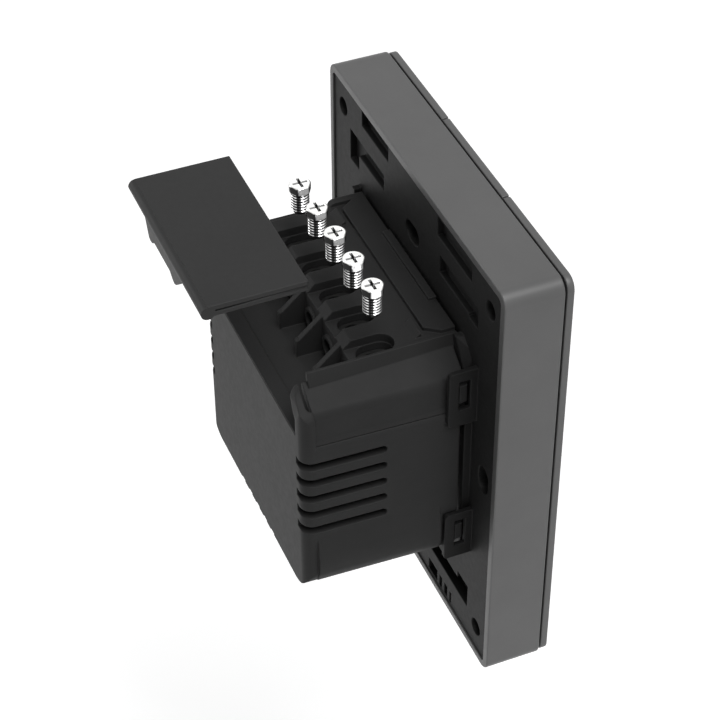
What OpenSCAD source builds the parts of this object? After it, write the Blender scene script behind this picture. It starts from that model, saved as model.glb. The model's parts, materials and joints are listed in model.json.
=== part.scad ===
// Three gang smart light switch, its terminal cover and terminal screws lifted away.
// X runs to the right seen from the front, Z up, and Y from the keys back into the wall box.
// The origin is the middle of the four fixing slots, in the plane that lies on the wall.

/* [Panel] */
// Width of the front frame
panel_w = 71; // [69:1:84]
// Height of the front frame
panel_h = 86; // [85:1:96]
// Depth of the front frame, from the wall to its face
frame_depth = 10.3; // [10:0.1:13]
// Corner radius of the front frame
corner_r = 2.5; // [1.5:0.1:4]
// Thickness of the frame's side walls
frame_wall = 1.45; // [1.2:0.05:2]
// Thickness of the frame's face behind the keys
face_t = 1.4; // [1:0.1:2]

/* [Keys] */
// Thickness of a key's plate
key_t = 1.3; // [1:0.1:2]
// How far the keys stand in from the frame's edge
key_inset = 0.3; // [0.1:0.1:1]
// Gap between two keys
key_gap = 0.3; // [0.2:0.1:1]
// Gap between the keys and the frame's face
key_air = 0.45; // [0.45:0.05:1]
// Travel of a key when it is pressed
key_travel = 0.35; // [0.2:0.05:0.4]
// Radius of a key's guide pegs
peg_r = 1.2; // [0.8:0.1:1.6]
// Clearance round a peg or a stem
peg_clear = 0.15; // [0.1:0.05:0.3]

/* [Back plate] */
// Thickness of the back plate
plate_t = 1.8; // [1.4:0.1:2.2]
// How far the back plate lies below the frame's rim
plate_recess = 0.3; // [0.1:0.1:0.6]
// Gap between the back plate and the frame's wall
plate_gap = 0.25; // [0.15:0.05:0.4]
// Distance between two opposite fixing slots
fixing_span = 60.3; // [60:0.1:61]
// Width of a fixing slot
slot_w = 3.6; // [3.2:0.1:4]
// Length of a fixing slot
slot_l = 5.4; // [4.5:0.1:6.5]
// Radius of the corner holes
corner_hole_r = 1.7; // [1.2:0.1:2]
// Radius of the frame's bosses behind the corner holes
boss_r = 2.9; // [2.4:0.1:3.2]

/* [Boards] */
// Thickness of the key carrier
carrier_t = 1.2; // [0.8:0.1:1.4]
// Space between the key carrier and the control board
board_space = 1.8; // [1.7:0.1:2]
// Thickness of both circuit boards
board_t = 1.2; // [0.8:0.1:1.4]
// Side of a tactile switch
tact_w = 4.6; // [4:0.1:6]
// Height of a tactile switch's body
tact_t = 1.2; // [1:0.1:1.4]

/* [Box] */
// Width of the box at the panel
box_w = 48.8; // [47:0.2:52]
// How far the box stands to the side of the panel's middle
box_x = -1.7; // [-3:0.1:0]
// Depth of the box, from the wall plane to its rear face
box_depth = 29.6; // [28:0.2:36]
// Height of the box below the middle of the panel
box_drop = 20.6; // [19:0.1:24]
// Height of the terminal deck above the middle of the panel
deck_h = 24; // [23:0.1:26]
// Draft angle of the box's sides
draft = 2; // [1:0.5:3]
// Wall thickness of the box
box_wall = 1.5; // [1.2:0.1:1.8]
// Radius of the box's lower edges
bottom_r = 5; // [3:0.5:7]
// Radius of the box's rear corners
rear_r = 2.2; // [1.8:0.1:3]
// How far the lower flank stands out from the side
flare = 0.8; // [0.4:0.1:1.2]
// How far the upper flank stands in from the side
step_in = 0.8; // [0.5:0.1:1.2]
// How far the foot of the lip stands in from the side, over the slope
lip_in = 5.7; // [5:0.1:6]
// Height of the lip above the deck
lip_h = 0.15; // [0.1:0.05:0.3]
// Thickness of the terminal housing's flanks
lip_w = 1.3; // [1.1:0.1:1.6]
// Radius of the bend between the upper flank and the slope
bend_r = 2; // [1.4:0.1:3]

/* [Vents] */
// Number of vents on each side
vent_count = 5; // [3:1:5]
// Distance between two vents
vent_pitch = 3.6; // [3:0.1:3.8]
// Height of a vent
vent_h = 1.65; // [1.2:0.05:2]

/* [Terminals] */
// Number of terminals
terminal_count = 5; // [3:1:5]
// Distance between two terminals
terminal_pitch = 7.82; // [7.5:0.01:8]
// Width of the channel above a terminal
channel_w = 4.6; // [4.4:0.1:4.8]
// Depth of the channel in the deck
channel_depth = 1.7; // [1.2:0.1:2]
// Thickness of the deck
deck_t = 3.2; // [2.8:0.1:3.6]
// Thickness of a fin between two terminals
fin_t = 1; // [0.8:0.1:1.3]
// Radius of a wire entry
wire_r = 1.7; // [1.4:0.1:1.8]
// Radius of a terminal screw's thread
thread_r = 1.6; // [1.3:0.01:1.65]
// Distance between two turns of the thread
thread_pitch = 0.55; // [0.45:0.05:0.7]
// Length of a terminal screw below its head
screw_l = 4.6; // [4:0.1:4.9]
// Radius of a screw's head
head_r = 1.9; // [1.7:0.05:1.95]
// Height of a screw's head
head_h = 1.4; // [1:0.1:1.5]
// How far the first screw is lifted above its place in the terminal
screw_lift = 14.4; // [8:0.1:16]
// How much less far each next screw is lifted
lift_fall = 0.4; // [0:0.05:0.5]

/* [Terminal cover] */
// Thickness of the terminal cover
cover_t = 2; // [1.6:0.1:2.4]
// Gap between the cover and what it lies beside
cover_gap = 0.8; // [0.4:0.1:1.2]
// Depth of the cover from front to rear
cover_depth = 17.6; // [17:0.1:18.5]
// How far the cover is moved back when it is taken off
cover_out = 18; // [16:0.1:20]
// How far the cover is moved up when it is taken off
cover_up = 15.5; // [14:0.1:18]

/* [Hidden] */
$fn = 48;
bite = 1;
seat = 0.2;
thin_gap = 0.15;

// Front frame and what lies in it, from the front to the back
in_w = panel_w - 2 * frame_wall;
in_h = panel_h - 2 * frame_wall;
in_r = max(corner_r - frame_wall, 0.8);
corner_hole_dx = panel_w - 11;
corner_hole_dz = panel_h - 13;
control_w = panel_w - 15;
control_h = panel_h - 24;
key_w = (panel_w - 2 * key_inset - 2 * key_gap) / 3;
key_h = panel_h - 2 * key_inset;
key_pitch = key_w + key_gap;
key_back = -frame_depth - key_air;
key_front = key_back - key_t;
face_back = -frame_depth + face_t;
carrier_back = face_back + carrier_t;
board_front = carrier_back + board_space;
board_back = board_front + board_t;
plate_back = -plate_recess;
plate_front = plate_back - plate_t;
plate_w = in_w - 2 * plate_gap;
plate_h = in_h - 2 * plate_gap;
window_w = key_w - 7;
window_h = key_h - 26;
peg_x = 5.5;
peg_z = 24;
stem_r = 1.4;
tact_front = board_front - tact_t;
plunger_r = 1;
plunger_out = 0.5;
plunger_in = 0.4;
plunger_clear = 0.1;
guide_r = 1;
guide_z = -20;
guide_front = -frame_depth;
lamp_t = 0.6;
lamp_w = 1.6;
post_edge = 3;
carrier_post_r = 2;
carrier_cut = 24;
radio_w = 16;
radio_h = 22;
radio_z = 17;
radio_t = 0.8;
shield_t = 1.5;

// Pockets and openings of the back plate: from X, to X, and two distances from its upper or lower edge
pocket_depth = 1.2;
UPPER_POCKETS = [
    [10.3, 21.6, -0.1, 3.5], [-23, -9.9, 0.7, 4.4], [12.1, 26.8, 7.5, 10.7],
    [23, 26.8, 10.5, 13.7], [-25.8, -11, 7.8, 11.3], [-25.8, -22.2, 11.1, 11.9]
];
LOWER_POCKETS = [[-26.1, -21.9, 9.5, 11.2]];
LOWER_OPENINGS = [[-26.1, -8, 6.3, 9.7], [-19.6, -9.8, 0.4, 3], [8, 26.1, 6.3, 9.7]];
RIB_X = [-14, -16.1, -18.4];
slot_rib_w = 1;
slot_rib_l = 2.9;
header_window = [6, 8];

// Box, drawn about its own middle, from the panel to the rear
half_w = box_w / 2;
box_z0 = -box_drop;
deck_z = deck_h;
lip_z = deck_z + lip_h;
slope_z = deck_z - 2.15;
step_z = slope_z - 2.9;
parting_z = step_z - 6.1;
ledge_h = 1.1;
ledge_gap = 0.08;
rear_wall_z = parting_z + 1.15;
shoulder_z = parting_z + 3.15;
box_y0 = 2.3;
upper_y0 = 1.3;
deck_y0 = 0.3;
column_y = box_depth - rear_r - 0.1;
neck_z = step_z - 1.45;
flare_y0 = 5.4;
flare_y1 = box_depth - 2.3;
flare_z1 = parting_z - 20.85;
flare_z0 = flare_z1 - 3.4;
upper_y1 = column_y - 0.05;
lip_y1 = upper_y1 - 0.8;
lip_x = half_w - lip_in;
lip_top_x = lip_x - 0.8;
lip_in_x = lip_top_x - 0.45;
slope_x = lip_x + box_depth / 2 * tan(draft);
slope_a = atan((slope_z - step_z) / (half_w - step_in - slope_x));
bend = [-half_w + step_in + bend_r, step_z - bend_r * tan(45 - slope_a / 2)];

// Rim of the near column, from the side's skin at the step's height up to the lip, and its rear edge
RIM = [[0, -1.3], [1, -1.15], [1.2, -0.45], [1.8, 0.25], [2.8, 1], [4, 1.85], [5.1, 2.65], [5.5, 3.35], [5.7, 3.9], [6.3, 3.9]];
RIM_REAR = [[0, -0.55], [-0.25, 1.45], [-0.6, 2.65], [-1.1, 3.5], [-1.6, 3.9]];
rim_in_x = half_w - 6.6;
far_x = half_w - 2.3;
far_wall_x = far_x - lip_w;
rail_h = 1;
rail_y1 = 6.8;
vent_y0 = 15;
vent_x = half_w - box_depth * tan(draft) - 3;
vent_z0 = parting_z - 4.05;
nick_y0 = box_depth - 5;
nick_h = 0.35;

// Terminals
first_x = -(terminal_count - 1) / 2 * terminal_pitch + 0.27;
terminal_y = 14.1;
deck_y1 = 18.3;
deck_bottom = deck_z - deck_t;
channel_z = deck_z - channel_depth;
channel_y0 = 10.4;
recess_l = 0.6;
bore_r = head_r + 0.3;
chamfer = 1.4;
entry_wall = 1.2;
ring_w = 0.7;
ring_out = 0.5;
entry_z = deck_z - 5.6;
floor_z = deck_z - 8.7;
floor_t = 1.2;
sill_t = 0.35;
deck_x0 = -lip_x + 0.9;
compartment_y1 = box_depth - box_wall - thin_gap;
fin_y1 = 22.9;
fin_z1 = deck_z - 5.6;
fin_tip_r = 0.5;
clamp_w = 4.8;
clamp_y0 = 9.6;
clamp_y1 = deck_y1 - entry_wall - thin_gap;
clamp_z1 = deck_bottom;
clamp_z0 = clamp_z1 - 5;
clamp_t = 0.7;
tail_l = 1;
head_z = clamp_z1;
platform_y = 5.2;
platform_h = 0.8;
bar_h = 0.6;
bar_w = 19.4;

// Latches of the back plate round the teeth of the box, and the collar that joins them
latch_t = 0.9;
latch_out = 0.75;
latch_y1 = 4.8;
latch_r = 0.8;
latch_window_y = [1, 3];
latch_z = [[parting_z - 2.35, parting_z + 9.15], [parting_z - 33.15, parting_z - 22.85]];
latch_window_z = [[latch_z[0][0] + 3.4, latch_z[0][1] - 2], [latch_z[1][0] + 2.7, latch_z[1][1] - 1.7]];
tooth_y0 = 1.5;
collar_y1 = 1.1;
collar_t = 1.2;

// Power board and what stands on it
power_y0 = 7.4;
power_y1 = power_y0 + board_t;
power_x = half_w - box_wall - 2.2;
power_z0 = box_z0 + box_wall + 1.2;
power_z1 = parting_z - 0.35;
post_r = 2;
post_in = 3.2;
part_gap = 0.6;
row_z = power_z1 - tail_l - 0.4;
relay_w = 8.6;
relay_y1 = power_y1 + 12.4;
relay_z0 = power_z0 + post_in + post_r + 0.5;
relay_z1 = row_z - 5;
relay_pitch = relay_w + 0.4;
relay_x0 = -power_x + 1 + relay_w / 2;
core_w = 11;
coil_x = power_x - 7.4;
capacitor_r = 3.2;
capacitor_l = 11;
capacitor_z = row_z - 4.6 - capacitor_r;
core_z0 = relay_z0;
core_z1 = capacitor_z - capacitor_r - part_gap;
fuse_r = 1.8;
varistor_r = 2.2;
header_pins = 8;
header_pitch = 2.54;
header_w = header_pins * header_pitch;
header_z = -3;
pin_w = 0.64;

// Terminal cover
cover_x0 = -half_w + 7.9;
cover_x1 = far_wall_x - cover_gap - 1;
cover_y0 = platform_y + 2;
cover_y1 = cover_y0 + cover_depth;
cover_z0 = deck_z + seat;
cover_z1 = cover_z0 + cover_t;
bead_r = 1.15;
bead_drop = 0.15;
skirt_t = 1.2;
apron_z = cover_z0 - 2.5;
foot_z = cover_z0 - 3.6;
apron_x = [cover_x0 + 9.6, cover_x0 + 27.8];
groove_h = 0.4;
groove_depth = 0.35;

// Place of a key's middle, of a terminal and of the wall between two terminals
function key_x(i) = (i - 1) * key_pitch;
function terminal_x(i) = first_x + i * terminal_pitch;
function divider_x(i) = terminal_x(i) + terminal_pitch / 2;
function vent_z(i) = vent_z0 - i * vent_pitch;
function lift(i) = screw_lift - i * lift_fall;

// Moves what is drawn about the box's middle to its place behind the panel
module in_box() {
    translate([box_x, 0, 0]) children();
}

// Extrudes a shape drawn in X and Z from y0 to y1
module along_y(y0, y1) {
    translate([0, y1, 0]) rotate([90, 0, 0]) linear_extrude(y1 - y0) children();
}

// Extrudes a shape drawn in Y and Z from x0 to x1
module along_x(x0, x1) {
    translate([x0, 0, 0]) rotate([90, 0, 90]) linear_extrude(x1 - x0) children();
}

// Extrudes a shape drawn in X and Y from z0 to z1
module along_z(z0, z1) {
    translate([0, 0, z0]) linear_extrude(z1 - z0) children();
}

module block(from, to) {
    translate(from) cube(to - from);
}

module round_rect(w, h, r) {
    square([w - 2 * r, h], center = true);
    square([w, h - 2 * r], center = true);
    for (x = [-1, 1], z = [-1, 1])
        translate([x * (w / 2 - r), z * (h / 2 - r)]) circle(r);
}

// A slot with round ends, from one centre to another along one axis
module long_hole(l, w) {
    square([l - w, w], center = true);
    for (s = [-1, 1]) translate([s * (l - w) / 2, 0]) circle(w / 2);
}

module at_corner_holes() {
    for (x = [-1, 1], z = [-1, 1])
        translate([x * corner_hole_dx / 2, z * corner_hole_dz / 2]) children();
}

module front_frame() {
    color([0.37, 0.37, 0.37]) difference() {
        union() {
            difference() {
                along_y(-frame_depth, 0) round_rect(panel_w, panel_h, corner_r);
                along_y(face_back, bite) round_rect(in_w, in_h, in_r);
            }
            along_y(face_back - bite / 2, plate_front) at_corner_holes() circle(boss_r);
        }
        for (i = [0 : 2])
            along_y(-frame_depth - bite, face_back + bite)
                translate([key_x(i), 0]) square([window_w, window_h], center = true);
        along_y(face_back, bite) at_corner_holes() circle(corner_hole_r * 0.6);
    }
}

// One key: its plate, the two guide pegs and the stem that presses the tactile switch
module key(i) {
    color([0.37, 0.37, 0.37]) {
        difference() {
            along_y(key_front, key_back) intersection() {
                round_rect(panel_w - 2 * key_inset, key_h, corner_r - key_inset);
                translate([key_x(i), 0]) square([key_w, key_h + bite], center = true);
            }
            along_y(key_back - key_t / 2, key_back + bite)
                translate([key_x(i), guide_z]) circle(guide_r + peg_clear);
        }
        along_y(key_back - key_t / 4, carrier_back) translate([key_x(i), 0])
            for (x = [-1, 1], z = [-1, 1])
                translate([x * peg_x, z * peg_z]) circle(peg_r);
        along_y(key_back - key_t / 4, tact_front - plunger_out) translate([key_x(i), 0]) circle(stem_r);
    }
}

module key_carrier() {
    color([0.12, 0.12, 0.12]) {
        difference() {
            along_y(face_back, carrier_back) {
                square([in_w - 2 * plate_gap, in_h - carrier_cut], center = true);
                square([in_w - carrier_cut, in_h - 2 * plate_gap], center = true);
            }
            for (i = [0 : 2])
                along_y(face_back - bite, carrier_back + bite) translate([key_x(i), 0]) {
                    circle(stem_r + peg_clear);
                    for (x = [-1, 1], z = [-1, 1])
                        translate([x * peg_x, z * peg_z]) circle(peg_r + peg_clear);
                    translate([0, guide_z]) circle(guide_r);
                }
        }
        along_y(carrier_back - carrier_t / 2, board_front)
            for (x = [-1, 1], z = [-1, 1])
                translate([x * (control_w / 2 - post_edge), z * (control_h / 2 - post_edge)]) circle(carrier_post_r);
    }
}

module light_guide(i) {
    color([0.9, 0.92, 0.94]) along_y(guide_front, board_front - lamp_t)
        translate([key_x(i), guide_z]) circle(guide_r);
}

module indicator_lamps() {
    color([0.95, 0.93, 0.75]) for (i = [0 : 2])
        along_y(board_front - lamp_t, board_front)
            translate([key_x(i), guide_z]) square([lamp_w, lamp_w / 2], center = true);
}

module control_board() {
    color([0.1, 0.34, 0.2]) difference() {
        along_y(board_front, board_back) square([control_w, control_h], center = true);
        along_y(board_front - bite, board_back + bite) header_outline(pin_w + 0.1);
    }
}

module tact_switch(i) {
    color([0.75, 0.75, 0.76]) difference() {
        along_y(tact_front, board_front)
            translate([key_x(i), 0]) square(tact_w, center = true);
        along_y(tact_front - bite, tact_front + plunger_in + key_travel + plunger_clear)
            translate([key_x(i), 0]) circle(plunger_r + plunger_clear);
    }
}

module plunger(i) {
    color([0.12, 0.12, 0.12])
        along_y(tact_front - plunger_out, tact_front + plunger_in)
            translate([key_x(i), 0]) circle(plunger_r);
}

module radio_module() {
    color([0.09, 0.3, 0.42]) along_y(board_back, board_back + radio_t)
        translate([0, radio_z]) square([radio_w, radio_h], center = true);
}

module radio_shield() {
    color([0.8, 0.8, 0.8]) along_y(board_back + radio_t, board_back + radio_t + shield_t)
        translate([0, radio_z - 2]) square([radio_w - 2, radio_h - 7], center = true);
}

// Square outlines of the header's pins
module header_outline(w) {
    for (i = [0 : header_pins - 1])
        translate([(i - (header_pins - 1) / 2) * header_pitch, header_z]) square(w, center = true);
}

module board_header() {
    color([0.14, 0.14, 0.14])
        along_y(board_back, board_back + header_pitch)
            translate([0, header_z]) square([header_w, header_pitch], center = true);
    color([0.14, 0.14, 0.14])
        along_y(power_y0 - header_pitch, power_y0)
            translate([0, header_z]) square([header_w, header_pitch], center = true);
    color([0.85, 0.7, 0.35]) along_y(board_front, power_y1) header_outline(pin_w);
}

// Rectangles of the back plate, measured from its upper (side 1) or lower (side -1) edge
module from_edge(rows, side) {
    for (r = rows)
        translate([r[0], side > 0 ? plate_h / 2 - r[3] : r[2] - plate_h / 2])
            square([r[1] - r[0], r[3] - r[2]]);
}

module back_plate() {
    color([0.2, 0.2, 0.2]) {
        difference() {
            along_y(plate_front, plate_back)
                round_rect(plate_w, plate_h, max(in_r - plate_gap, 0.5));
            along_y(plate_front - bite, bite) {
                at_corner_holes() circle(corner_hole_r);
                for (z = [-1, 1]) translate([0, z * fixing_span / 2]) long_hole(slot_l, slot_w);
                for (x = [-1, 1])
                    translate([x * fixing_span / 2, 0]) rotate(90) long_hole(slot_l, slot_w);
                translate([0, header_z])
                    square([header_w + header_window[0], header_pitch + header_window[1]], center = true);
                from_edge(LOWER_OPENINGS, -1);
            }
            along_y(plate_back - pocket_depth, bite) {
                from_edge(UPPER_POCKETS, 1);
                from_edge(LOWER_POCKETS, -1);
            }
        }
        for (x = RIB_X)
            along_y(plate_front, plate_back)
                translate([x - slot_rib_w / 2, -plate_h / 2 + 0.3]) square([slot_rib_w, slot_rib_l]);
        in_box() {
            for (side = [0, 1]) mirror([side, 0, 0]) latch_loops();
            collar(near_collar());
            near_shoulder();
            mirror([1, 0, 0]) collar(far_collar());
        }
    }
}

// The two latch loops that stand on the back plate, on the left side
module latch_loops() {
    for (i = [0, 1])
        along_x(-half_w - latch_out, -half_w - latch_out + latch_t) difference() {
            loop_outline(latch_z[i]);
            translate([latch_window_y[0], latch_window_z[i][0]])
                square([latch_window_y[1] - latch_window_y[0], latch_window_z[i][1] - latch_window_z[i][0]]);
        }
    for (z = latch_z)
        block([-half_w - latch_out, plate_back - bite / 4, z[0]], [-half_w + bite / 4, 0.4, z[1]]);
}

// A loop seen from the side, with its two free corners rounded
module loop_outline(z) {
    y0 = plate_back - bite / 4;
    translate([y0, z[0]]) square([latch_y1 - latch_r - y0, z[1] - z[0]]);
    translate([y0, z[0] + latch_r]) square([latch_y1 - y0, z[1] - z[0] - 2 * latch_r]);
    for (c = [z[0] + latch_r, z[1] - latch_r]) translate([latch_y1 - latch_r, c]) circle(latch_r);
}

// Outlines of the upright collars beside the box, near and far
function near_collar() = let (x = half_w - step_in, z = latch_z[1][0] + 0.5) [
    [-x, z], [-x, step_z - 1.2], [-x + collar_t, step_z - 1.2], [-x + collar_t, z]];
function far_collar() = let (x = half_w + 0.3, z = latch_z[1][0] + 0.5) [
    [-x, z], [-x, deck_z + 0.5], [-x + collar_t, deck_z + 0.5], [-x + collar_t, z]];

// Shoulder of the near collar: it follows the slope to the lip and spreads out on to the plate
module near_shoulder() {
    x = half_w - step_in;
    z = step_z - 1.5;
    lip = [[-lip_top_x - 0.2, deck_z + 0.4], [-lip_x - 0.1, slope_z - 0.3], [-x + collar_t, z]];
    hull() {
        along_y(plate_back - bite / 4, plate_back)
            polygon(concat([[-x - 0.1, z], [-x + 0.1, step_z + 0.5], [-x + 1, step_z + 2.85], [-x + 2.1, step_z + 4.25],
                            [-x + 4, deck_z + 0.5]], lip));
        along_y(plate_back, collar_y1)
            polygon(concat([[-x, z], [-x + 0.35, step_z], [-x + 1, step_z + 0.85], [-x + 2.4, step_z + 1.95],
                            [-x + 3.5, step_z + 3.05], [-x + 4, step_z + 4.35], [-x + 4.5, deck_z + 0.3]], lip));
    }
}

module collar(outline) {
    along_y(plate_back - bite / 4, collar_y1) polygon(outline);
}

// Turns one side of the box in by the draft, about its front edge
module flank(side) {
    mirror([side, 0, 0])
        translate([-half_w, 0, 0]) rotate([0, 0, -draft]) translate([half_w, 0, 0]) children();
}

// Half of the box's section, a given distance inside its skin
module half_section(inset, top) {
    x = half_w - inset;
    z = box_z0 + inset;
    r = bottom_r - inset;
    translate([-x, z + r]) square([x + bite, top - z - r]);
    translate([-x + r, z]) square([x - r + bite, r + bite]);
    translate([-x + r, z + r]) circle(r);
}

// The box's plan with its round rear corners, a given distance inside its skin
module plan(inset, front) {
    r = rear_r - min(inset, rear_r - 0.7);
    y = box_depth - inset;
    x = half_w - inset / cos(draft) - (y - r) * tan(draft) - r / cos(draft);
    translate([-half_w - 5, front]) square([2 * half_w + 10, y - r - front]);
    translate([-x, y - r - bite]) square([2 * x, r + bite]);
    for (s = [-1, 1]) translate([s * x, y - r]) circle(r);
}

module box_body(inset, front, top) {
    intersection() {
        for (side = [0, 1])
            flank(side) along_y(front - 3, box_depth + 5) half_section(inset, top);
        along_z(box_z0 - bite, top + bite) plan(inset, front);
    }
}

// The lower flank that stands out from the side and runs into its lower edge
module flare_band() {
    x = half_w + flare;
    z = box_z0 + bottom_r;
    along_y(flare_y0, flare_y1)
        polygon([[-x, z], [-x, flare_z0], [-half_w, flare_z1], [-half_w + box_wall, flare_z1],
                 [-half_w + box_wall, z], [-half_w + bottom_r * 0.3, box_z0 + bottom_r * 0.3], [-half_w + 0.4, z - bottom_r * 0.5]]);
}

module rear_housing() {
    posts_x = power_x - post_in;
    color([0.22, 0.22, 0.22]) in_box() {
        difference() {
            union() {
                box_body(0, box_y0, rear_wall_z);
                for (side = [0, 1]) flank(side) flare_band();
                near_column();
            }
            box_body(box_wall, box_y0 - bite, deck_z);
            // Side ledge in front of the column, where the terminal housing takes over
            for (side = [0, 1])
                flank(side) along_y(box_y0 - bite, column_y) ledge_cut();
            for (side = [0, 1], i = [0 : vent_count - 1]) mirror([side, 0, 0]) side_vent(vent_z(i));
            for (i = [0 : vent_count - 1]) bottom_vent((i - (vent_count - 1) / 2) * vent_pitch);
            for (side = [0, 1], z = latch_z) mirror([side, 0, 0])
                block([-half_w - 3, box_y0 - bite, z[0] - thin_gap],
                      [-half_w - latch_out + latch_t + thin_gap, latch_y1 + thin_gap, z[1] + thin_gap]);
        }
        for (side = [0, 1]) mirror([side, 0, 0]) tooth(latch_window_z[1], half_w - 0.7);
        for (x = [-1, 1], z = [power_z0 + post_in, power_z1 - post_in])
            along_y(power_y1, box_depth - box_wall / 2) translate([x * posts_x, z]) circle(post_r);
    }
}

// What the side of the lower housing leaves for the ledge and the terminal housing
module ledge_cut() {
    top = rear_wall_z + bite;
    mid = -half_w + step_in / 2;
    polygon([[-half_w - 3, parting_z - ledge_h], [-half_w, parting_z - ledge_h], [-half_w + step_in / 8, parting_z - ledge_h / 2],
             [mid, parting_z - ledge_gap], [-half_w + 5, parting_z - ledge_gap], [-half_w + 5, top], [-half_w - 3, top]]);
}

// The rear corner column beside the terminals, whose rim follows the slope in to the lip
module near_column() {
    z0 = rear_wall_z - bite;
    z1 = step_z + RIM[len(RIM) - 1][1];
    intersection() {
        box_body(0, column_y, z1);
        along_y(column_y, box_depth)
            polygon(concat([[-half_w, z0]], [for (r = RIM) [r[0] - half_w, r[1] + step_z]],
                           [[-rim_in_x, z1 - 0.6], [-rim_in_x, step_z + 1.4], [-vent_x, neck_z], [-vent_x, z0]]));
        along_x(-half_w, 0)
            polygon(concat([[column_y, z0], [box_depth, z0]], [for (r = RIM_REAR) [r[0] + box_depth, r[1] + step_z]],
                           [[column_y, z1]]));
    }
}

module side_vent(z) {
    r = vent_h / 2;
    along_x(-half_w - 3, -vent_x) {
        translate([vent_y0 + r, z]) circle(r);
        translate([vent_y0 + r, z - r]) square([box_depth - vent_y0, vent_h]);
    }
}

module bottom_vent(x) {
    block([x - vent_h / 2, nick_y0, box_z0 - bite], [x + vent_h / 2, box_depth + bite, box_z0 + nick_h]);
    block([x - vent_h / 2, nick_y0, box_z0 - bite], [x + vent_h / 2, box_depth - box_wall - 0.3, box_z0 + box_wall + 0.3]);
}

// A tooth of the box, rooted at x, that a latch loop with the given window snaps over
module tooth(window, x) {
    y1 = latch_window_y[1] - thin_gap;
    out = half_w + latch_out;
    along_z(window[0] + 1.4, window[1] - 1.1)
        polygon([[-x, tooth_y0], [-x, y1], [-out + 0.15, y1], [-out + 0.35, tooth_y0]]);
}

// Section of the terminal housing's flank and slope, a given distance inside its skin
module flank_region(inset, z0) {
    r = bend_r - inset;
    tangent = bend + r * [-sin(slope_a), cos(slope_a)];
    far = tangent + 10 * [cos(slope_a), sin(slope_a)];
    polygon([[bend[0] - r, z0], [bend[0] - r, bend[1]], bend, tangent, far, [far[0], z0]]);
    translate(bend) circle(r);
}

// The flank with its foot on the ledge and its bend into the slope, up to the lip
module upper_flank() {
    foot = -half_w + step_in;
    z0 = parting_z + ledge_gap;
    intersection() {
        flank(0) along_y(0, box_depth) {
            difference() {
                flank_region(0, z0);
                flank_region(lip_w, z0 - bite);
            }
            polygon([[foot - step_in / 2, z0], [foot - step_in / 8, parting_z + ledge_h / 2], [foot, parting_z + ledge_h],
                     [foot + lip_w / 2, parting_z + ledge_h], [foot + lip_w / 2, z0]]);
        }
        block([-half_w - 3, upper_y0, parting_z], [-lip_in_x - 0.1, upper_y1, deck_z]);
    }
}

// Section of the lip above the slope, with its slanted face
module lip_section() {
    polygon([[-lip_x, slope_z - 0.4], [-lip_x, slope_z], [-lip_top_x, lip_z], [-lip_in_x, lip_z], [-lip_in_x, slope_z - 0.4]]);
}

module channel(x) {
    r = channel_w / 2;
    along_z(channel_z, deck_z + bite) {
        translate([x, channel_y0 + r]) circle(r);
        translate([x - r, channel_y0 + r]) square([channel_w, deck_y1 - channel_y0]);
    }
    along_z(deck_bottom - bite, channel_z + bite) round_slot(x, channel_y0 + r, terminal_y + recess_l, bore_r);
}

// A slot with round ends along Y, between two centres
module round_slot(x, y0, y1, r) {
    translate([x - r, y0]) square([2 * r, y1 - y0]);
    for (y = [y0, y1]) translate([x, y]) circle(r);
}

// A fin between two terminals, with its slanted top and round tip
module fin(x) {
    z0 = floor_z - floor_t / 2;
    along_x(x - fin_t / 2, x + fin_t / 2) {
        polygon([[deck_y1 - bite, z0], [deck_y1 - bite, deck_z - chamfer - 0.1], [deck_y1, deck_z - chamfer],
                 [fin_y1 - fin_tip_r * 0.7, fin_z1 + fin_tip_r * 0.5], [fin_y1, fin_z1 - fin_tip_r], [fin_y1, z0]]);
        translate([fin_y1 - fin_tip_r, fin_z1 - fin_tip_r * 0.1]) circle(fin_tip_r);
    }
}

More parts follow.
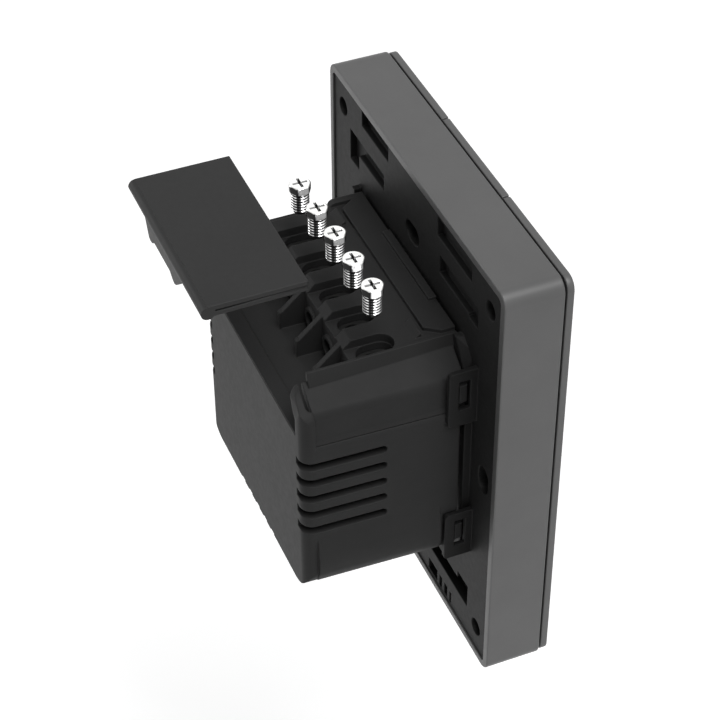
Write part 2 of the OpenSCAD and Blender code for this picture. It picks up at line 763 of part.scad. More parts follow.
module terminal_housing() {
    color([0.22, 0.22, 0.22]) in_box() {
        difference() {
            union() {
                block([deck_x0, deck_y0, deck_bottom], [far_wall_x + bite / 2, deck_y1, deck_z]);
                block([deck_x0, deck_y1 - entry_wall, floor_z - floor_t],
                      [far_wall_x + bite / 2, deck_y1, deck_bottom + bite]);
                for (i = [0 : terminal_count - 1])
                    along_y(deck_y1 - bite, deck_y1 + ring_out)
                        translate([terminal_x(i), entry_z]) circle(wire_r + ring_w);
            }
            for (i = [0 : terminal_count - 1]) {
                channel(terminal_x(i));
                along_y(deck_y1 - 3, deck_y1 + 3) translate([terminal_x(i), entry_z]) circle(wire_r);
            }
            for (i = [0 : terminal_count - 2])
                translate([divider_x(i), deck_y1, deck_z]) rotate([45, 0, 0])
                    cube([terminal_pitch - channel_w, chamfer * sqrt(2), chamfer * sqrt(2)], center = true);
        }
        for (i = [0 : terminal_count - 2]) fin(divider_x(i));
        deck_front();
        // Floor of the wire compartment, flat behind the entries and then sloping to the rear wall
        intersection() {
            along_x(-half_w, far_x - bite / 4)
                polygon([[deck_y1 - entry_wall, floor_z], [fin_y1 - 0.6, floor_z],
                         [compartment_y1, rear_wall_z], [compartment_y1, rear_wall_z - 1.4],
                         [fin_y1 - 0.6, floor_z - floor_t], [deck_y1 - entry_wall, floor_z - floor_t]]);
            box_body(box_wall, box_y0, lip_z);
        }
        // Sill of the compartment, over the rear wall
        intersection() {
            along_x(-vent_x + thin_gap, far_x)
                polygon([[compartment_y1 - bite, rear_wall_z - 0.5], [compartment_y1 - bite, rear_wall_z + sill_t + 0.1],
                         [box_depth - 0.05, rear_wall_z + sill_t], [box_depth - 0.05, rear_wall_z + 0.05],
                         [compartment_y1, rear_wall_z + 0.05], [compartment_y1, rear_wall_z - 0.5]]);
            box_body(0.05, box_y0, lip_z);
        }
        difference() {
            upper_flank();
            block([-half_w - 3, deck_y0 - bite, latch_z[0][0] - thin_gap],
                  [-half_w - latch_out + latch_t + thin_gap, latch_y1 + thin_gap, latch_z[0][1] + thin_gap]);
        }
        along_y(deck_y0, lip_y1) lip_section();
        tooth(latch_window_z[0], half_w - step_in - 0.5);
        // Far wall of the wire compartment with its rail, and the low shoulder beside it
        block([far_wall_x, deck_y0, shoulder_z - bite], [far_x, compartment_y1, lip_z - 0.3]);
        block([far_wall_x, deck_y0, lip_z - bite], [far_x, rail_y1 - rail_h, lip_z - 0.3 + rail_h]);
        along_x(far_wall_x, far_x) intersection() {
            translate([rail_y1 - rail_h, lip_z - 0.3]) circle(rail_h);
            translate([rail_y1 - rail_h - bite, lip_z - bite]) square([rail_h + bite, rail_h + bite]);
        }
        intersection() {
            block([far_wall_x, box_y0 + 0.9, parting_z + 0.02], [half_w + 5, compartment_y1, shoulder_z]);
            flank(1) along_y(box_y0 - 3, box_depth + 5)
                translate([-half_w + step_in, parting_z]) square([half_w, 5]);
        }
    }
}

// The raised platform beside the panel, its bar and the small ramps that guide the cover
module deck_front() {
    x0 = deck_x0 + 0.7;
    x1 = far_wall_x;
    cut = 1.8;
    cut_y = 2.5;
    ramp_w = 4.2;
    ramp_y = platform_y + 0.9;
    along_z(deck_z - bite, deck_z + platform_h)
        polygon([[x0, deck_y0], [x0, platform_y - cut_y], [x0 + cut, platform_y], [x1 - cut, platform_y],
                 [x1, platform_y - cut_y], [x1, deck_y0]]);
    along_z(deck_z, deck_z + platform_h + bar_h)
        translate([-bar_w / 2, deck_y0]) square([bar_w, 1.4]);
    for (x = [terminal_x(0) - 1.2, far_wall_x - ramp_w - 1.2])
        along_x(x, x + ramp_w)
            polygon([[ramp_y, deck_z - bite], [ramp_y, deck_z + platform_h],
                     [ramp_y + 1.2, deck_z], [ramp_y + 1.2, deck_z - bite]]);
}

module power_board() {
    color([0.1, 0.34, 0.2]) difference() {
        in_box() along_y(power_y0, power_y1)
            translate([-power_x, power_z0]) square([2 * power_x, power_z1 - power_z0]);
        along_y(power_y0 - bite, power_y1 + bite) header_outline(pin_w + 0.1);
    }
}

module relay(i) {
    x = relay_x0 + i * relay_pitch;
    color([0.12, 0.22, 0.45]) in_box()
        block([x - relay_w / 2, power_y1, relay_z0], [x + relay_w / 2, relay_y1, relay_z1]);
}

module transformer_core() {
    color([0.3, 0.3, 0.32]) in_box() difference() {
        block([coil_x - core_w / 2, power_y1, core_z0], [coil_x + core_w / 2, power_y1 + 10, core_z1]);
        block([coil_x - core_w / 2 - bite, power_y1 + 2, core_z0 + 2],
              [coil_x + core_w / 2 + bite, power_y1 + 8, core_z1 - 2]);
    }
}

module transformer_coil() {
    color([0.75, 0.6, 0.2]) in_box()
        block([coil_x - core_w / 2 + 1, power_y1 + 2, core_z0 + 2],
              [coil_x + core_w / 2 - 1, power_y1 + 8, core_z1 - 2]);
}

module capacitor() {
    color([0.16, 0.2, 0.3]) in_box() along_y(power_y1, power_y1 + capacitor_l)
        translate([coil_x - 1.4, capacitor_z]) circle(capacitor_r);
}

module fuse() {
    color([0.55, 0.4, 0.3]) in_box() along_y(power_y1, power_y1 + 7)
        translate([relay_x0 + relay_pitch / 2, row_z - fuse_r]) circle(fuse_r);
}

module varistor() {
    color([0.2, 0.35, 0.65]) in_box() along_y(power_y1, power_y1 + 3)
        translate([relay_x0 + 2 * relay_pitch, row_z - varistor_r]) circle(varistor_r);
}

// A plated steel clamp under the deck, threaded for its screw and open to its wire entry
module terminal_clamp(i) {
    x = terminal_x(i);
    color([0.5, 0.5, 0.49]) in_box() difference() {
        union() {
            block([x - clamp_w / 2, clamp_y0, clamp_z0], [x + clamp_w / 2, clamp_y1, clamp_z1]);
            block([x - 1, power_y1, power_z1 - tail_l], [x + 1, power_y1 + clamp_t, clamp_z1]);
            block([x - 1, power_y1, clamp_z1 - clamp_t], [x + 1, clamp_y0 + bite, clamp_z1]);
        }
        block([x - clamp_w / 2 + clamp_t, clamp_y0 - 0.05, clamp_z0 + clamp_t],
              [x + clamp_w / 2 - clamp_t, clamp_y1 + bite, clamp_z1 - clamp_t]);
        along_z(clamp_z0 - bite, clamp_z1 + bite) translate([x, terminal_y]) circle(thread_r + 0.07);
    }
}

// A terminal screw with a hexagonal pan head, a cross recess and a thread of ridges
module terminal_screw(i) {
    turns = floor((screw_l - 0.5) / thread_pitch);
    depth = 0.35;
    core_r = thread_r - depth;
    tip = -screw_l;
    color([0.9, 0.9, 0.88]) in_box() translate([terminal_x(i), terminal_y, head_z + lift(i)]) {
        difference() {
            intersection() {
                cylinder(r = head_r, h = head_h);
                rotate(30) cylinder(r = head_r * 1.09, h = head_h, $fn = 6);
                cylinder(r1 = head_r + head_h, r2 = head_r - 0.25, h = head_h + 0.01);
            }
            for (a = [0, 90])
                rotate(a) translate([0, 0, head_h]) cube([2 * head_r * 0.68, 0.5, 1.1], center = true);
        }
        rotate_extrude() polygon(concat(
            [[0, 0.2], [core_r, 0.2]],
            [for (k = [0 : turns - 1], s = [0 : 2])
                [s == 1 ? thread_r : core_r, -0.1 - thread_pitch * (k + s * 0.42)]],
            [[core_r, tip + 0.25], [core_r - 0.3, tip], [0, tip]]));
    }
}

// The cover's apron, a low edge between two feet with slanted sides
module apron() {
    polygon([[apron_x[0], cover_z0 + 0.3], [apron_x[0] + 3.4, foot_z + 0.4], [apron_x[0] + 4.2, foot_z],
             [apron_x[0] + 5, foot_z + 0.3], [apron_x[0] + 6.2, apron_z], [apron_x[1] - 4.2, apron_z],
             [apron_x[1] - 3.2, foot_z + 0.3], [apron_x[1] - 2.2, foot_z], [apron_x[1] - 1.4, foot_z + 0.4],
             [apron_x[1], cover_z0 + 0.3]]);
}

module terminal_cover() {
    color([0.25, 0.25, 0.25]) in_box() translate([0, cover_out, cover_up]) {
        difference() {
            block([cover_x0, cover_y0, cover_z0], [cover_x1, cover_y1 - bead_r, cover_z1]);
            block([cover_x0 - bite, cover_y0 - bite, cover_z0 + cover_t / 2 - groove_h / 2],
                  [cover_x0 + groove_depth, cover_y1 - 2 * bead_r, cover_z0 + cover_t / 2 + groove_h / 2]);
        }
        along_x(cover_x0, cover_x1) translate([cover_y1 - bead_r, cover_z1 - bead_r - bead_drop]) circle(bead_r);
        block([cover_x0, cover_y1 - skirt_t - 0.2, cover_z0], [cover_x1, cover_y1 - 0.2, cover_z1 - bead_r - bead_drop]);
        along_y(cover_y1 - skirt_t - 0.2, cover_y1 - 0.2) apron();
    }
}

front_frame();
key(0);  // key_left
key(1);  // key_centre
key(2);  // key_right
key_carrier();
light_guide(0);  // light_guide_left
light_guide(1);  // light_guide_centre
light_guide(2);  // light_guide_right
control_board();
tact_switch(0);  // tact_switch_left
tact_switch(1);  // tact_switch_centre
tact_switch(2);  // tact_switch_right
plunger(0);  // plunger_left
plunger(1);  // plunger_centre
plunger(2);  // plunger_right
indicator_lamps();
radio_module();
radio_shield();
back_plate();
board_header();
rear_housing();
terminal_housing();
power_board();
relay(0);  // relay_left
relay(1);  // relay_centre
relay(2);  // relay_right
transformer_core();
transformer_coil();
capacitor();
fuse();
varistor();
terminal_clamp(0);  // terminal_clamp_1
terminal_clamp(1);  // terminal_clamp_2
terminal_clamp(2);  // terminal_clamp_3
terminal_clamp(3);  // terminal_clamp_4
terminal_clamp(4);  // terminal_clamp_5
terminal_screw(0);  // terminal_screw_1
terminal_screw(1);  // terminal_screw_2
terminal_screw(2);  // terminal_screw_3
terminal_screw(3);  // terminal_screw_4
terminal_screw(4);  // terminal_screw_5
terminal_cover();
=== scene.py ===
import json
import math

import bmesh
import bpy
from mathutils import Matrix, Vector


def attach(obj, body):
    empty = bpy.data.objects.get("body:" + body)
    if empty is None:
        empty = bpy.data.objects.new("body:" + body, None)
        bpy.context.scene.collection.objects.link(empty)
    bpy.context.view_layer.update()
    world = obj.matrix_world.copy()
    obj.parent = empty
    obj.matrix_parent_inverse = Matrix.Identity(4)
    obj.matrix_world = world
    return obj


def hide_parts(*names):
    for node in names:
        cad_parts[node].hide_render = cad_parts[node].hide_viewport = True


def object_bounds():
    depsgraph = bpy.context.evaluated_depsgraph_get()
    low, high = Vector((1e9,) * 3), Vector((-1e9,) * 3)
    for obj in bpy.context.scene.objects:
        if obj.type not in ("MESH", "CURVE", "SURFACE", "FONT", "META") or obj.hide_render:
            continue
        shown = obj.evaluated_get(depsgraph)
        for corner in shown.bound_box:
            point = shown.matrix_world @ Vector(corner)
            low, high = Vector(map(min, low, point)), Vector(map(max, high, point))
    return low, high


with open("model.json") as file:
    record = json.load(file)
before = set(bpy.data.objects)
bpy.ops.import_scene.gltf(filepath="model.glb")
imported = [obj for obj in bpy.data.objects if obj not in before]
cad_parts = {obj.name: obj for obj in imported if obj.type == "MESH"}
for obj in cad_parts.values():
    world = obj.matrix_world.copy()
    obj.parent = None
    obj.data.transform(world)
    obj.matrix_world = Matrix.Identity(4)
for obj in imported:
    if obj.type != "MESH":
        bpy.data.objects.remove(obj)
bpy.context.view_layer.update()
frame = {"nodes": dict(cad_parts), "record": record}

MM = 0.001
WHITE = (1.0, 1.0, 1.0, 1.0)

# Camera, at the photograph's viewing angle
EYE = Vector((-261.01, 117.13, 253.64)) * MM
AZIMUTH = math.radians(247.5334)
ELEVATION = math.radians(41.3252)
ROLL = math.radians(-0.2571)
LENS = 108.97
SENSOR_WIDTH = 36
CLIP_START = 0.02
CLIP_END = 20

# Widths of the bevels, with 0 for pieces whose edges are rounded by their shader alone
PANEL_EDGE = 0.22 * MM
KEY_EDGE = 0.2 * MM
PLATE_EDGE = 0.12 * MM
COVER_EDGE = 0.18 * MM
SCREW_EDGE = 0.02 * MM
NO_BEVEL = 0
EDGES = {
    "front_frame": PANEL_EDGE,
    "back_plate": PLATE_EDGE,
    "rear_housing": NO_BEVEL,
    "terminal_housing": NO_BEVEL,
    "terminal_cover": COVER_EDGE,
    "key_left": KEY_EDGE,
    "key_centre": KEY_EDGE,
    "key_right": KEY_EDGE,
    "terminal_screw_1": SCREW_EDGE,
    "terminal_screw_2": SCREW_EDGE,
    "terminal_screw_3": SCREW_EDGE,
    "terminal_screw_4": SCREW_EDGE,
    "terminal_screw_5": SCREW_EDGE,
}
BEVEL_SEGMENTS = 2

# A face beside a bevel needs this many bevel widths of room
FACE_ROOM = 2.2

# Vertices closer than WELD are merged, faces within FLAT are joined, and edges beyond SHARP stay sharp
WELD = 0.002 * MM
FLAT = math.radians(0.8)
SHARP = math.radians(28)
NORMAL_WEIGHT = 50

# Rays with which a shader looks round itself, for rounded edges and narrow places
RAY_SAMPLES = 6

# Edges rounded by the shader: radius, and how far the normals agree from an edge's middle to its side
SOFT_EDGE = 0.25 * MM
BOX_SOFT_EDGE = 0.3 * MM
EDGE_AGREEMENT = (0.8, 0.99)

# Moulded plastic: flow marks, a spark texture, and edges painted lighter as highlights
FLOW_SCALE = 90
FLOW_SHADE = 0.05
PATCH_SCALE_SHARE = 1 / 6
GRAIN_ROUGHNESS = 0.65
GRAIN_STRENGTH = 0.5
EDGE_HIGHLIGHT_GAIN = 1.5
EDGE_HIGHLIGHT_LIFT = 0.008
EDGE_HIGHLIGHT_SHARE = 0.5
ROUGHNESS_SPREAD = 0.02

# Plated metal: haze, scratches, and the spread of the roughness as shares of its middle value
HAZE_SCALE = 700
HAZE_SHADE = 0.86
SCRATCH_SCALE = 5000
SCRATCH_STRENGTH = 0.2
SCRATCH_DEPTH = 0.01 * MM
METAL_ROUGHNESS_SHARES = (0.7, 1.4)

# Chrome: a faint painted glow, the direction across the screws, and how bright thread and head are
# painted along it as painted reflections of a studio
CHROME_METALLIC = 0.9
CHROME_PAINTED_GLOW = 0.3
CHROME_HAZE_SCALE = 900
CHROME_WEAR = 0.2
CHROME_ACROSS = (-0.382, -0.924, 0.0)
THREAD_PAINTED_REFLECTION = [
    (0.0, 0.2), (1.0, 0.1),
    (0.06, 0.95), (0.27, 0.95),
    (0.33, 0.02), (0.55, 0.02),
    (0.62, 0.95), (0.92, 0.9),
]
HEAD_PAINTED_REFLECTION = [
    (0.0, 0.01), (1.0, 0.02),
    (0.42, 0.01), (0.5, 0.95),
    (0.87, 0.95), (0.94, 0.02),
]

# Where the parts of a screw begin and end, and its axis seen from above, as shares of its own box
HEAD_START = (0.76, 0.77)
RECESS_FLOOR = (0.935, 0.955)
GROOVE_RADIUS = (0.385, 0.405)
SCREW_AXIS = (0.5, 0.5, 0.0)

# Factors that keep the level part of a vector
LEVEL_PART = (1.0, 1.0, 0.0)

# Upward part of the normal from a screw's sides to its top, where the painted bands give way to the
# painted top, and from its underside, painted dark as shade, to its sides
SIDE_TO_TOP = (0.55, 0.85)
UNDER_TO_SIDE = (-0.8, -0.5)

# How open a place on a screw is, from painted shade to lit, and how far that is looked for
OPENNESS = (0.3, 0.7)
OPENNESS_DISTANCE = 0.5 * MM

# Floor: depth below the object, size, paint and glow
FLOOR_DROP = 0.11
FLOOR_SIZE = 6.0
FLOOR_PAINT = (0.8, 0.8, 0.8, 1.0)
FLOOR_ROUGHNESS = 0.9
FLOOR_GLOW = 0.6

# Light from all around, and lamps as place, width and power, all aimed at the origin
WORLD_LIGHT = 0.15
LAMPS = {
    "top_light": ((-0.5, -0.05, 1.05), 0.8, 10.5),
    "far_light": ((0.8, 0.75, 0.4), 0.4, 1.5),
    "side_light": ((-1.0, -0.25, 0.2), 0.8, 0.5),
}


def place_camera():
    level = math.cos(ELEVATION)
    back = Vector((math.sin(AZIMUTH) * level, -math.cos(AZIMUTH) * level, math.sin(ELEVATION)))
    right = Vector((0, 0, 1)).cross(back).normalized()
    up = back.cross(right)
    turned_right = math.cos(ROLL) * right + math.sin(ROLL) * up
    turned_up = math.cos(ROLL) * up - math.sin(ROLL) * right
    data = bpy.data.cameras.new("photo_camera")
    data.lens = LENS
    data.sensor_width = SENSOR_WIDTH
    data.clip_start = CLIP_START
    data.clip_end = CLIP_END
    camera = bpy.data.objects.new("photo_camera", data)
    camera.matrix_world = Matrix((
        (turned_right.x, turned_up.x, back.x, EYE.x),
        (turned_right.y, turned_up.y, back.y, EYE.y),
        (turned_right.z, turned_up.z, back.z, EYE.z),
        (0, 0, 0, 1)))
    bpy.context.scene.collection.objects.link(camera)
    bpy.context.scene.camera = camera


class Shader:
    """A node material built up call by call."""

    def __init__(self, name):
        self.material = bpy.data.materials.new(name)
        self.material.use_nodes = True
        self.tree = self.material.node_tree
        self.surface = next(n for n in self.tree.nodes if n.type == "BSDF_PRINCIPLED")
        self.place = self.add("ShaderNodeTexCoord")

    def add(self, kind, **values):
        node = self.tree.nodes.new(kind)
        for key, value in values.items():
            if key in node.inputs:
                node.inputs[key].default_value = value
            else:
                setattr(node, key, value)
        return node

    def feed(self, value, target):
        """Give a socket the output of another node, or a fixed value."""
        if isinstance(value, bpy.types.NodeSocket):
            self.tree.links.new(value, target)
        else:
            target.default_value = value

    def set(self, **values):
        """Feed inputs of the surface, named with underscores for spaces."""
        for key, value in values.items():
            self.feed(value, self.surface.inputs[key.replace("_", " ")])

    def noise(self, scale, detail, roughness=0.5):
        node = self.add("ShaderNodeTexNoise", Scale=scale, Detail=detail, Roughness=roughness)
        self.feed(self.place.outputs["Object"], node.inputs["Vector"])
        return node.outputs["Fac"]

    def spread(self, value, low, high, start=0.35, end=0.65):
        """Map a value from start to end onto low to high, and clamp it."""
        node = self.add("ShaderNodeMapRange")
        node.inputs["From Min"].default_value = start
        node.inputs["From Max"].default_value = end
        node.inputs["To Min"].default_value = low
        node.inputs["To Max"].default_value = high
        self.feed(value, node.inputs["Value"])
        return node.outputs["Result"]

    def blend(self, factor, first, second):
        node = self.add("ShaderNodeMix", data_type="RGBA")
        self.feed(factor, node.inputs["Factor"])
        colours = [s for s in node.inputs if s.type == "RGBA"]
        self.feed(first, colours[0])
        self.feed(second, colours[1])
        return next(s for s in node.outputs if s.type == "RGBA")

    def vector(self, operation, *values, result="Vector"):
        node = self.add("ShaderNodeVectorMath", operation=operation)
        for number, value in enumerate(values):
            self.feed(value, node.inputs[number])
        return node.outputs[result]

    def split(self, vector):
        node = self.add("ShaderNodeSeparateXYZ")
        self.feed(vector, node.inputs[0])
        return node.outputs

    def edges(self, radius):
        """1 on an edge and 0 away from it, with the normal of the rounded edge."""
        rounded = self.add("ShaderNodeBevel", samples=RAY_SAMPLES, Radius=radius).outputs["Normal"]
        true = self.add("ShaderNodeNewGeometry").outputs["Normal"]
        agreement = self.vector("DOT_PRODUCT", rounded, true, result="Value")
        return self.spread(agreement, 1.0, 0.0, *EDGE_AGREEMENT), rounded

    def bump(self, height, strength, distance):
        node = self.add("ShaderNodeBump", Strength=strength, Distance=distance)
        self.feed(height, node.inputs["Height"])
        return node


def grey(level):
    return (level, level, level, 1.0)


def moulded(name, level, roughness, grain, depth, specular=0.5, edge=SOFT_EDGE):
    """Moulded plastic with a fine spark texture, faint flow marks and edges painted lighter as
    highlights.
    """
    shader = Shader(name)
    flow = shader.spread(shader.noise(FLOW_SCALE, detail=3), 0.0, 1.0)
    patches = shader.noise(grain * PATCH_SCALE_SHARE, detail=2)
    highlit_edges, rounded = shader.edges(edge)
    body = shader.blend(flow, grey(level * (1 - FLOW_SHADE)), grey(level * (1 + FLOW_SHADE)))
    # Edges are painted lighter, as highlights
    edge_highlight_share = shader.spread(highlit_edges, 0.0, EDGE_HIGHLIGHT_SHARE, 0.0, 1.0)
    texture = shader.bump(shader.noise(grain, 3, GRAIN_ROUGHNESS), GRAIN_STRENGTH, depth)
    shader.feed(rounded, texture.inputs["Normal"])
    shader.set(
        Base_Color=shader.blend(edge_highlight_share, body, grey(level * EDGE_HIGHLIGHT_GAIN + EDGE_HIGHLIGHT_LIFT)),
        Roughness=shader.spread(patches, roughness - ROUGHNESS_SPREAD, roughness + ROUGHNESS_SPREAD),
        Normal=texture.outputs["Normal"],
        Specular_IOR_Level=specular)
    return shader.material


def metal_roughness(shader, haze, roughness):
    low, high = METAL_ROUGHNESS_SHARES
    return shader.spread(haze, roughness * low, roughness * high)


def plated(name, colour, roughness, metallic=1.0):
    """Plated or drawn metal with faint scratches."""
    shader = Shader(name)
    haze = shader.noise(HAZE_SCALE, detail=4)
    hazed = tuple(part * HAZE_SHADE for part in colour[:3]) + (1.0,)
    scratches = shader.bump(shader.noise(SCRATCH_SCALE, detail=2), SCRATCH_STRENGTH, SCRATCH_DEPTH)
    shader.set(
        Metallic=metallic,
        Base_Color=shader.blend(shader.spread(haze, 0.0, 1.0), colour, hazed),
        Roughness=metal_roughness(shader, haze, roughness),
        Normal=scratches.outputs["Normal"])
    return shader.material


def painted_reflection_bands(shader, across, stops):
    """Painted reflection: grey levels along the direction across the screws, of which the first two are
    the ends.
    """
    ramp = shader.add("ShaderNodeValToRGB")
    elements = ramp.color_ramp.elements
    for number, (position, level) in enumerate(stops):
        stop = elements[number] if number < len(elements) else elements.new(position)
        stop.position = position
        stop.color = grey(level)
    shader.feed(across, ramp.inputs["Fac"])
    return ramp.outputs["Color"]


def chrome(name, bright, dark, roughness):
    """Chrome whose colour holds painted reflections, the dark and bright bands of a studio round it fixed
    to the piece, with painted shade and a faint painted glow.
    """
    shader = Shader(name)
    normal = shader.add("ShaderNodeNewGeometry").outputs["Normal"]
    upward = shader.split(normal)["Z"]
    level = shader.vector("NORMALIZE", shader.vector("MULTIPLY", normal, LEVEL_PART))
    facing = shader.vector("DOT_PRODUCT", level, CHROME_ACROSS, result="Value")
    across = shader.spread(facing, 0.0, 1.0, -1.0, 1.0)

    # The head's sides and the whole thread take the painted reflection bands, and the head's top is
    # painted bright as a reflection, with its recess floor painted dark as shade
    share = shader.place.outputs["Generated"]
    height = shader.split(share)["Z"]
    in_head = shader.spread(height, 0.0, 1.0, *HEAD_START)
    painted_reflection = shader.blend(in_head, painted_reflection_bands(shader, across, THREAD_PAINTED_REFLECTION), painted_reflection_bands(shader, across, HEAD_PAINTED_REFLECTION))
    takes_painted_reflection = shader.add("ShaderNodeMath", operation="MAXIMUM")
    shader.feed(shader.spread(upward, 1.0, 0.0, *SIDE_TO_TOP), takes_painted_reflection.inputs[0])
    shader.feed(shader.spread(in_head, 1.0, 0.0, 0.0, 1.0), takes_painted_reflection.inputs[1])
    top = shader.blend(shader.spread(height, 0.0, 1.0, *RECESS_FLOOR), dark, bright)
    side = shader.blend(takes_painted_reflection.outputs["Value"], top, painted_reflection)

    # The grooves of the thread, the head's underside and narrow places are painted dark as shade
    outward = shader.vector("MULTIPLY", shader.vector("SUBTRACT", share, SCREW_AXIS), LEVEL_PART)
    radius = shader.vector("LENGTH", outward, result="Value")
    ridge = shader.spread(radius, 0.0, 1.0, *GROOVE_RADIUS)
    above = shader.spread(upward, 0.0, 1.0, *UNDER_TO_SIDE)
    lit = shader.blend(shader.blend(in_head, ridge, above), dark, side)
    open_air = shader.add("ShaderNodeAmbientOcclusion", samples=RAY_SAMPLES, Distance=OPENNESS_DISTANCE)
    openness = shader.spread(open_air.outputs["AO"], 0.0, 1.0, *OPENNESS)
    haze = shader.noise(CHROME_HAZE_SCALE, detail=3)
    worn = shader.blend(shader.spread(haze, 0.0, CHROME_WEAR), lit, dark)
    shown = shader.blend(openness, dark, worn)
    # The screws glow faintly with their painted colour, though they are no lamp
    shader.set(
        Metallic=CHROME_METALLIC,
        Base_Color=shown,
        Emission_Color=shown,
        Emission_Strength=CHROME_PAINTED_GLOW,
        Roughness=metal_roughness(shader, haze, roughness))
    return shader.material


def body_of(node):
    for body, names in frame["record"]["behaviour"]["bodies"].items():
        if node in names:
            return body
    return "base"


def slot_of(node):
    for row in frame["record"]["subparts"]:
        if row["node"] == node:
            return row["material_slot"]
    return None


def takes_bevel(edge, width):
    """A sharp edge between two faces that are both wide enough for it."""
    if len(edge.link_faces) != 2 or edge.calc_face_angle(0.0) < SHARP:
        return False
    length = edge.calc_length()
    if length <= width:
        return False
    return all(face.calc_area() > FACE_ROOM * width * length for face in edge.link_faces)


def refined(node, width):
    """A copy of a CAD node with clean faces and rounded edges, standing in for it."""
    mesh = bmesh.new()
    mesh.from_mesh(frame["nodes"][node].data)
    bmesh.ops.remove_doubles(mesh, verts=mesh.verts, dist=WELD)
    if width:
        bmesh.ops.dissolve_limit(mesh, angle_limit=FLAT, verts=mesh.verts, edges=mesh.edges)
    for face in mesh.faces:
        face.smooth = True
    weight = mesh.edges.layers.float.new("bevel_weight_edge")
    for edge in mesh.edges:
        rounded = width > 0 and takes_bevel(edge, width)
        edge[weight] = 1.0 if rounded else 0.0
        edge.smooth = rounded or edge.calc_face_angle(0.0) < SHARP
    data = bpy.data.meshes.new(node + "_finished")
    mesh.to_mesh(data)
    mesh.free()
    data.materials.append(BY_SLOT[slot_of(node)])
    piece = bpy.data.objects.new(node + "_finished", data)
    bpy.context.scene.collection.objects.link(piece)
    if width:
        bevel = piece.modifiers.new("rounded_edges", "BEVEL")
        bevel.width = width
        bevel.segments = BEVEL_SEGMENTS
        bevel.limit_method = "WEIGHT"
        bevel.use_clamp_overlap = False
    even = piece.modifiers.new("even_normals", "WEIGHTED_NORMAL")
    even.weight = NORMAL_WEIGHT
    even.keep_sharp = True
    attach(piece, body_of(node))
    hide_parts(node)


def repaint(node):
    data = frame["nodes"][node].data
    data.materials.clear()
    data.materials.append(BY_SLOT[slot_of(node)])


def seen_or_mirrored(tree):
    """1 for rays from the camera, a mirror or glass."""
    ray = tree.nodes.new("ShaderNodeLightPath")
    seen = ray.outputs["Is Camera Ray"]
    for kind in ("Is Glossy Ray", "Is Transmission Ray"):
        either = tree.nodes.new("ShaderNodeMath")
        either.operation = "MAXIMUM"
        tree.links.new(seen, either.inputs[0])
        tree.links.new(ray.outputs[kind], either.inputs[1])
        seen = either.outputs["Value"]
    return seen


def add_floor():
    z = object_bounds()[0][2] - FLOOR_DROP
    half = FLOOR_SIZE / 2
    corners = [(-half, -half, z), (half, -half, z), (half, half, z), (-half, half, z)]
    data = bpy.data.meshes.new("floor")
    data.from_pydata(corners, [], [(0, 1, 2, 3)])
    shader = Shader("floor_paint")
    glow = shader.add("ShaderNodeMath", operation="MULTIPLY")
    shader.feed(seen_or_mirrored(shader.tree), glow.inputs[0])
    shader.feed(FLOOR_GLOW, glow.inputs[1])
    shader.set(
        Base_Color=FLOOR_PAINT,
        Roughness=FLOOR_ROUGHNESS,
        Emission_Color=WHITE,
        Emission_Strength=glow.outputs["Value"])
    data.materials.append(shader.material)
    floor = bpy.data.objects.new("floor", data)
    bpy.context.scene.collection.objects.link(floor)


def add_lamp(name, place, size, power):
    data = bpy.data.lights.new(name, "AREA")
    data.shape = "DISK"
    data.size = size
    data.energy = power
    lamp = bpy.data.objects.new(name, data)
    lamp.location = Vector(place)
    lamp.rotation_euler = (-Vector(place)).to_track_quat("-Z", "Y").to_euler()
    bpy.context.scene.collection.objects.link(lamp)


def background(tree, strength):
    node = tree.nodes.new("ShaderNodeBackground")
    node.inputs["Color"].default_value = WHITE
    node.inputs["Strength"].default_value = strength
    return node.outputs["Background"]


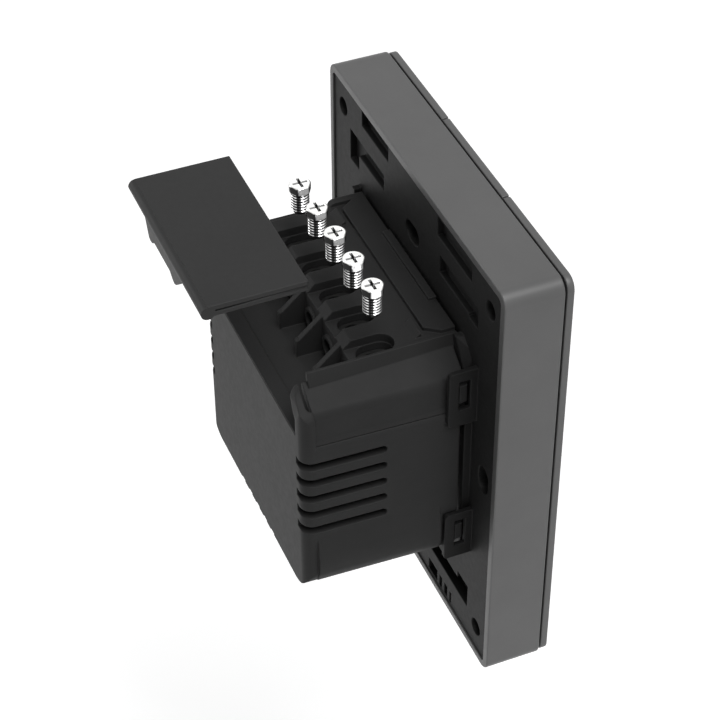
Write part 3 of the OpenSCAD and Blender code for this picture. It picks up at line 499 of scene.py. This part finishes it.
def light_studio():
    """White to the eye and in mirrors, and a soft light for the rest, with three lamps."""
    world = bpy.data.worlds.new("studio")
    bpy.context.scene.world = world
    world.use_nodes = True
    tree = world.node_tree
    tree.nodes.clear()
    mix = tree.nodes.new("ShaderNodeMixShader")
    out = tree.nodes.new("ShaderNodeOutputWorld")
    tree.links.new(seen_or_mirrored(tree), mix.inputs["Fac"])
    tree.links.new(background(tree, WORLD_LIGHT), mix.inputs[1])
    tree.links.new(background(tree, 1.0), mix.inputs[2])
    tree.links.new(mix.outputs["Shader"], out.inputs["Surface"])
    for name, (place, size, power) in LAMPS.items():
        add_lamp(name, place, size, power)


place_camera()

inner_plastic = moulded("inner_plastic_detail", level=0.008, roughness=0.5, grain=5000, depth=0.01 * MM)
clear_plastic = moulded("clear_plastic_detail", level=0.7, roughness=0.15, grain=900, depth=0.002 * MM)
circuit_board = moulded("circuit_board_detail", level=0.03, roughness=0.3, grain=1500, depth=0.01 * MM)
tin = plated("switch_metal_detail", (0.7, 0.7, 0.72, 1.0), roughness=0.35)

BY_SLOT = {
    "frame_plastic": moulded(
        "frame_plastic_detail", level=0.095, roughness=0.42, grain=7000, depth=0.008 * MM),
    "key_plastic": moulded(
        "key_plastic_detail", level=0.095, roughness=0.42, grain=7000, depth=0.008 * MM),
    "back_plastic": moulded(
        "back_plastic_detail", level=0.012, roughness=0.55, grain=6000, depth=0.008 * MM, specular=0.12),
    "box_plastic": moulded(
        "box_plastic_detail", level=0.027, roughness=0.5, grain=6000, depth=0.006 * MM, specular=0.08,
        edge=BOX_SOFT_EDGE),
    "cover_plastic": moulded(
        "cover_plastic_detail", level=0.016, roughness=0.5, grain=6000, depth=0.008 * MM, specular=0.25),
    "inner_plastic": inner_plastic,
    "clear_plastic": clear_plastic,
    "circuit_board": circuit_board,
    "radio_board": circuit_board,
    "switch_metal": tin,
    "lamp": clear_plastic,
    "relay_case": inner_plastic,
    "ferrite": inner_plastic,
    "coil_tape": tin,
    "capacitor_sleeve": inner_plastic,
    "fuse_body": inner_plastic,
    "clamp_steel": plated("clamp_steel_detail", (0.028, 0.028, 0.0275, 1.0), roughness=0.4, metallic=0.4),
    # The screws' bright and dark greys are those of their painted reflections and painted shade
    "screw_steel": chrome("screw_steel_detail", (0.93, 0.93, 0.91, 1.0), grey(0.012), roughness=0.14),
}

# Each CAD node is painted, or replaced by a copy with rounded edges on the node's own body
for row in frame["record"]["subparts"]:
    node = row["node"]
    if node in EDGES:
        refined(node, EDGES[node])
    else:
        repaint(node)

add_floor()
light_studio()
bpy.context.scene.view_settings.view_transform = "Standard"
